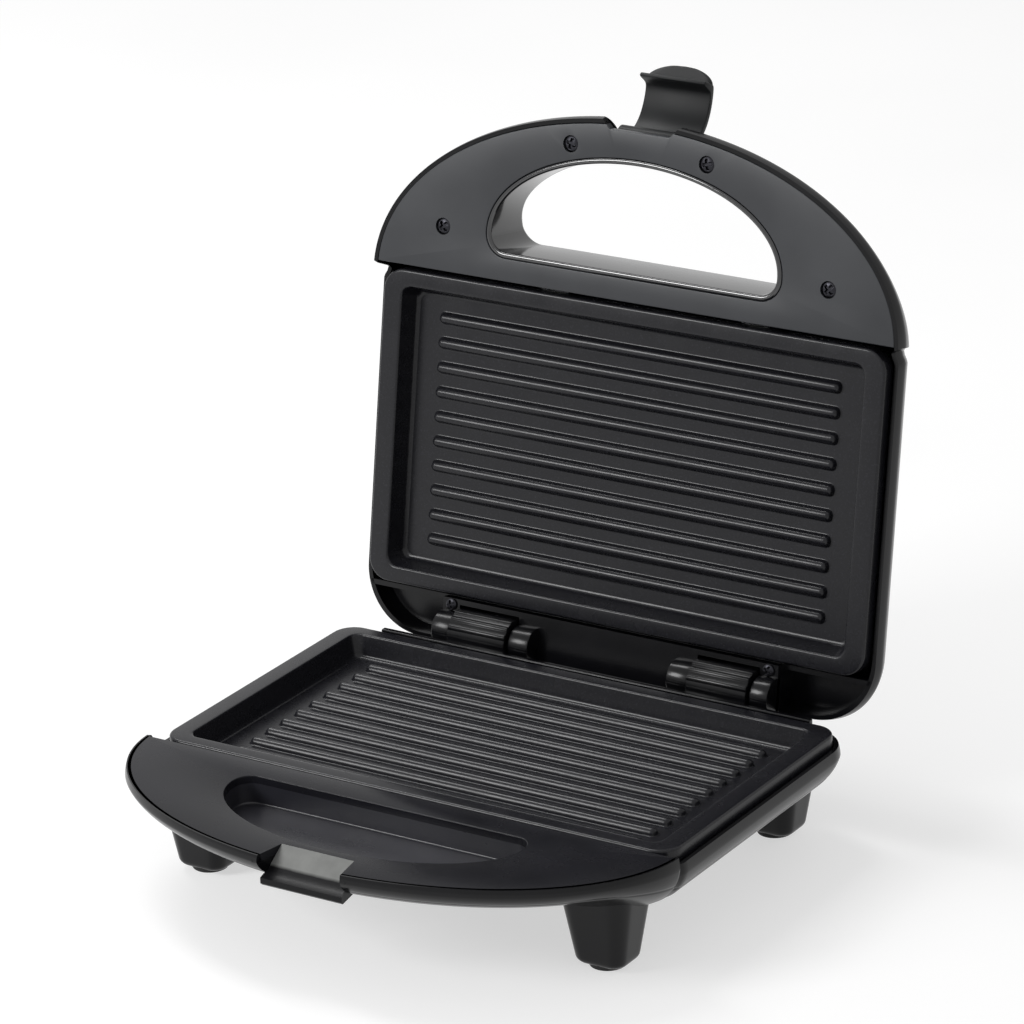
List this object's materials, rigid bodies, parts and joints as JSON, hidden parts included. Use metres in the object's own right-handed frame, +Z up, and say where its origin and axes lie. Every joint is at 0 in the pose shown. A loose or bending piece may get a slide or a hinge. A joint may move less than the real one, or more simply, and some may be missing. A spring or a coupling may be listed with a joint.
{
  "type": "sandwich toaster",
  "caption": "Countertop sandwich toaster with two ribbed grill plates, crescent handles, a hinged lid standing open and a swinging front clip.",
  "frame": {"origin": "on the surface it stands on, under the middle of the object with its lid and clip open", "axes": "+Z up, +Y from the hand rest to the hinge, +X to the right seen from the front"},
  "size_m": [0.235, 0.2833, 0.268],
  "materials": {
    "gloss_shell": "polished black moulding",
    "cover_dark": "satin black moulding",
    "cover_grey": "satin grey-black moulding",
    "catch": "polished black moulding",
    "nonstick": "dark non-stick coating on cast aluminium",
    "heater_steel": "annealed steel tube",
    "tray_steel": "bright aluminised sheet",
    "ceramic": "unglazed ceramic and steel",
    "fuse_body": "white ceramic",
    "terminal_plastic": "natural nylon",
    "screw_steel": "zinc plated",
    "screw_black": "black oxide",
    "foot_rubber": "matt rubber",
    "gland_rubber": "matt rubber",
    "pin_steel": "ground steel",
    "red_lens": "clear red plastic",
    "green_lens": "clear green plastic",
    "lamp_plastic": "natural nylon",
    "clip_grey": "satin black moulding"
  },
  "bodies": {
    "base": {"base_housing": "gloss_shell", "base_handle_cover": "cover_dark", "base_catch": "catch", "base_plate": "nonstick", "base_heater": "heater_steel", "base_reflector": "tray_steel", "thermostat": "ceramic", "thermal_fuse": "fuse_body", "terminal_block": "terminal_plastic", "base_plate_screws": "screw_steel", "base_screws": "screw_steel", "foot_pads": "foot_rubber", "cord_gland": "gland_rubber"},
    "lid": {"lid_housing": "gloss_shell", "lid_handle_cover": "cover_grey", "lid_cover_screws": "screw_black", "lid_plate": "nonstick", "lid_heater": "heater_steel", "lid_reflector": "tray_steel", "lid_plate_screws": "screw_steel", "hinge_pins": "pin_steel", "hinge_screws": "screw_black", "power_lens": "red_lens", "ready_lens": "green_lens", "lamp_holder": "lamp_plastic", "latch_pin": "pin_steel"},
    "latch": {"latch": "clip_grey"}
  },
  "joints": [
    {"name": "lid_hinge", "type": "hinge", "parent": "base", "child": "lid", "pos_m": [0, 0.06984, 0.047], "axis": [1, 0, 0], "range_deg": [0, 100]},
    {"name": "latch_hinge", "type": "hinge", "parent": "lid", "child": "latch", "pos_m": [0, 0.11608, 0.24589], "axis": [1, 0, 0], "range_deg": [0, 120]}
  ]
}
